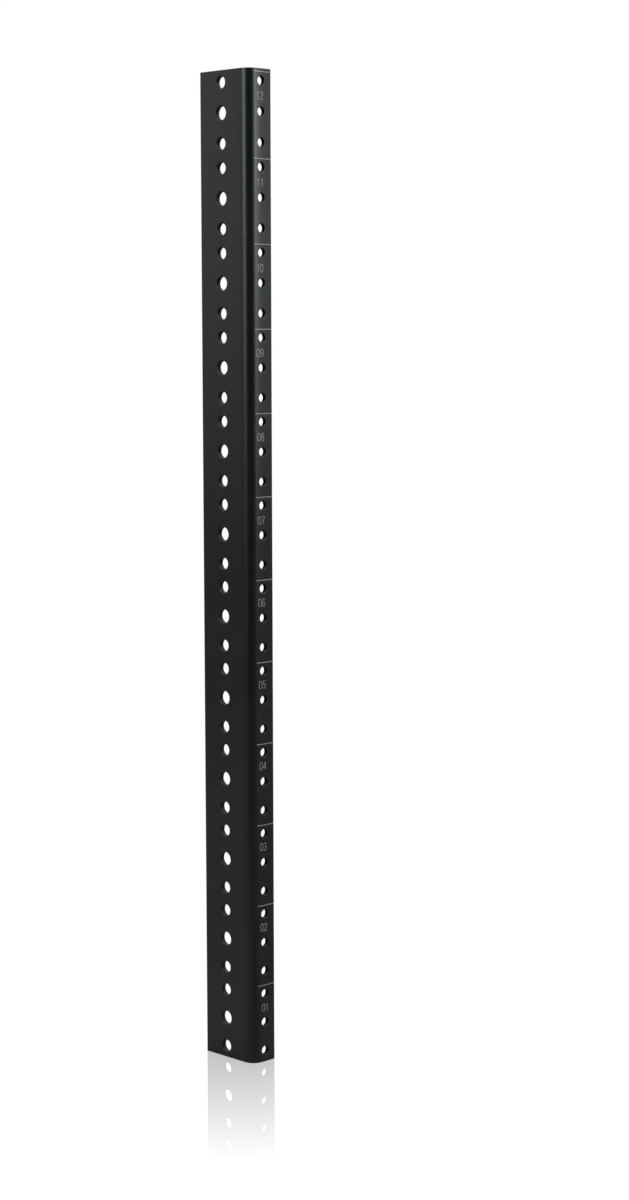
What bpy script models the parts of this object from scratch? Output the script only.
"""Rack mounting rail: one steel angle, folded lengthwise, with a column of holes down each flange.

The front flange carries the tapped holes that equipment is screwed to, and the side flange
the clear holes that bolt the rail to its cabinet. Both columns repeat every rack unit.
Frame: metres, +Z up the rail, front flange facing -Y, side flange facing -X, and the origin
on the floor at the middle of the rail's outer width and depth.
"""

import math

import bmesh
import bpy
from mathutils import Matrix, Vector

# Rack pattern. A unit holds three holes: one beside each of its two lines and one midway.
RACK_UNITS = 12
UNIT_HEIGHT = 0.04445
HOLE_TO_UNIT_LINE = 0.00635

# Folded sheet
SHEET = 0.0025
FRONT_WIDTH = 0.016
SIDE_WIDTH = 0.037
BEND_INSIDE_RADIUS = 0.0035
EDGE_BREAK = 0.0002

# Holes: diameters, and how far each column stands from its flange's free edge
TAPPED_BORE = 0.0050
SMALL_BOLT_HOLE = 0.0066
LARGE_BOLT_HOLE = 0.0076
FRONT_COLUMN_INSET = 0.007
SIDE_COLUMN_INSET = 0.0157

# Finish: satin black powder coat
COAT_COLOUR = (0.016, 0.016, 0.017, 1.0)
COAT_ROUGHNESS = 0.42

# Fineness of the round shapes, and how far a cutter stands out of the sheet
BEND_STEPS = 12
HOLE_SIDES = 28
CUTTER_OVERSHOOT = 0.001

BEND_OUTSIDE_RADIUS = BEND_INSIDE_RADIUS + SHEET
CORNER = Vector((-FRONT_WIDTH / 2, -SIDE_WIDTH / 2, 0.0))


def clear_scene():
    for old in list(bpy.data.objects):
        bpy.data.objects.remove(old, do_unlink=True)


def powder_coat():
    material = bpy.data.materials.new("black_powder_coat")
    material.use_nodes = True
    shader = material.node_tree.nodes["Principled BSDF"]
    shader.inputs["Base Color"].default_value = COAT_COLOUR
    shader.inputs["Roughness"].default_value = COAT_ROUGHNESS
    shader.inputs["Metallic"].default_value = 0.0
    return material


def arc(centre, radius, start_deg, end_deg, steps):
    """Points on an arc in the XY plane, both ends included."""
    points = []
    for step in range(steps + 1):
        angle = math.radians(start_deg + (end_deg - start_deg) * step / steps)
        points.append(centre + radius * Vector((math.cos(angle), math.sin(angle), 0.0)))
    return points


def section_outline():
    """The angle's cross-section, anticlockwise from above: two flanges that meet in a round bend."""
    bend_centre = CORNER + Vector((BEND_OUTSIDE_RADIUS, BEND_OUTSIDE_RADIUS, 0.0))
    front_end = [
        CORNER + Vector((FRONT_WIDTH, 0.0, 0.0)),
        CORNER + Vector((FRONT_WIDTH, SHEET, 0.0)),
    ]
    side_end = [
        CORNER + Vector((SHEET, SIDE_WIDTH, 0.0)),
        CORNER + Vector((0.0, SIDE_WIDTH, 0.0)),
    ]
    inside = arc(bend_centre, BEND_INSIDE_RADIUS, 270, 180, BEND_STEPS)
    outside = arc(bend_centre, BEND_OUTSIDE_RADIUS, 180, 270, BEND_STEPS)
    return front_end + inside + side_end + outside


def folded_sheet(name):
    """The section extruded up the rail, divided at each unit line, with its sharp edges broken."""
    shape = bmesh.new()
    corners = [shape.verts.new(point) for point in section_outline()]
    foot = shape.faces.new(corners)
    grown = bmesh.ops.extrude_face_region(shape, geom=[foot])["geom"]
    moved = [item for item in grown if isinstance(item, bmesh.types.BMVert)]
    bmesh.ops.translate(shape, verts=moved, vec=(0.0, 0.0, RACK_UNITS * UNIT_HEIGHT))
    for unit in range(1, RACK_UNITS):
        bmesh.ops.bisect_plane(
            shape,
            geom=shape.verts[:] + shape.edges[:] + shape.faces[:],
            plane_co=(0.0, 0.0, unit * UNIT_HEIGHT),
            plane_no=(0.0, 0.0, 1.0),
        )
    bmesh.ops.recalc_face_normals(shape, faces=shape.faces)
    mesh = bpy.data.meshes.new(name)
    shape.to_mesh(mesh)
    shape.free()
    sheet = bpy.data.objects.new(name, mesh)
    bpy.context.scene.collection.objects.link(sheet)
    edge_break = sheet.modifiers.new("edge_break", "BEVEL")
    edge_break.width = EDGE_BREAK
    edge_break.segments = 1
    edge_break.limit_method = "ANGLE"
    edge_break.angle_limit = math.radians(60)
    return sheet


def holes_in_a_unit():
    """How far each hole of a unit stands above the unit's lower line, lowest first."""
    return (HOLE_TO_UNIT_LINE, UNIT_HEIGHT / 2, UNIT_HEIGHT - HOLE_TO_UNIT_LINE)


def hole_cutter(name, column, along, diameters):
    """Round bars for one flange: three in every rack unit, each with its own diameter.

    column is the point at floor level where the column's centre line meets the flange's
    outer face, and along is the direction from there into the sheet.
    """
    bars = bmesh.new()
    bar_length = SHEET + 2 * CUTTER_OVERSHOOT
    turn = Vector((0.0, 0.0, 1.0)).rotation_difference(along).to_matrix().to_4x4()
    for unit in range(RACK_UNITS):
        for height, diameter in zip(holes_in_a_unit(), diameters):
            centre = column + along * SHEET / 2
            centre.z = unit * UNIT_HEIGHT + height
            bmesh.ops.create_cone(
                bars,
                cap_ends=True,
                segments=HOLE_SIDES,
                radius1=diameter / 2,
                radius2=diameter / 2,
                depth=bar_length,
                matrix=Matrix.Translation(centre) @ turn,
            )
    mesh = bpy.data.meshes.new(name)
    bars.to_mesh(mesh)
    bars.free()
    cutter = bpy.data.objects.new(name, mesh)
    cutter.hide_render = True
    cutter.display_type = "WIRE"
    bpy.context.scene.collection.objects.link(cutter)
    return cutter


def punch(sheet, cutter):
    cut = sheet.modifiers.new(cutter.name, "BOOLEAN")
    cut.operation = "DIFFERENCE"
    cut.solver = "EXACT"
    cut.object = cutter


def build():
    clear_scene()
    rail = folded_sheet("rail")
    front_column = CORNER + Vector((FRONT_WIDTH - FRONT_COLUMN_INSET, 0.0, 0.0))
    side_column = CORNER + Vector((0.0, SIDE_WIDTH - SIDE_COLUMN_INSET, 0.0))
    punch(rail, hole_cutter("tapped_holes", front_column, Vector((0.0, 1.0, 0.0)), (TAPPED_BORE,) * 3))
    bolt_holes = (SMALL_BOLT_HOLE, LARGE_BOLT_HOLE, SMALL_BOLT_HOLE)
    punch(rail, hole_cutter("bolt_holes", side_column, Vector((1.0, 0.0, 0.0)), bolt_holes))
    rail.data.materials.append(powder_coat())
    rail.data.shade_smooth()
    rail.data.set_sharp_from_angle(angle=math.radians(30))


build()
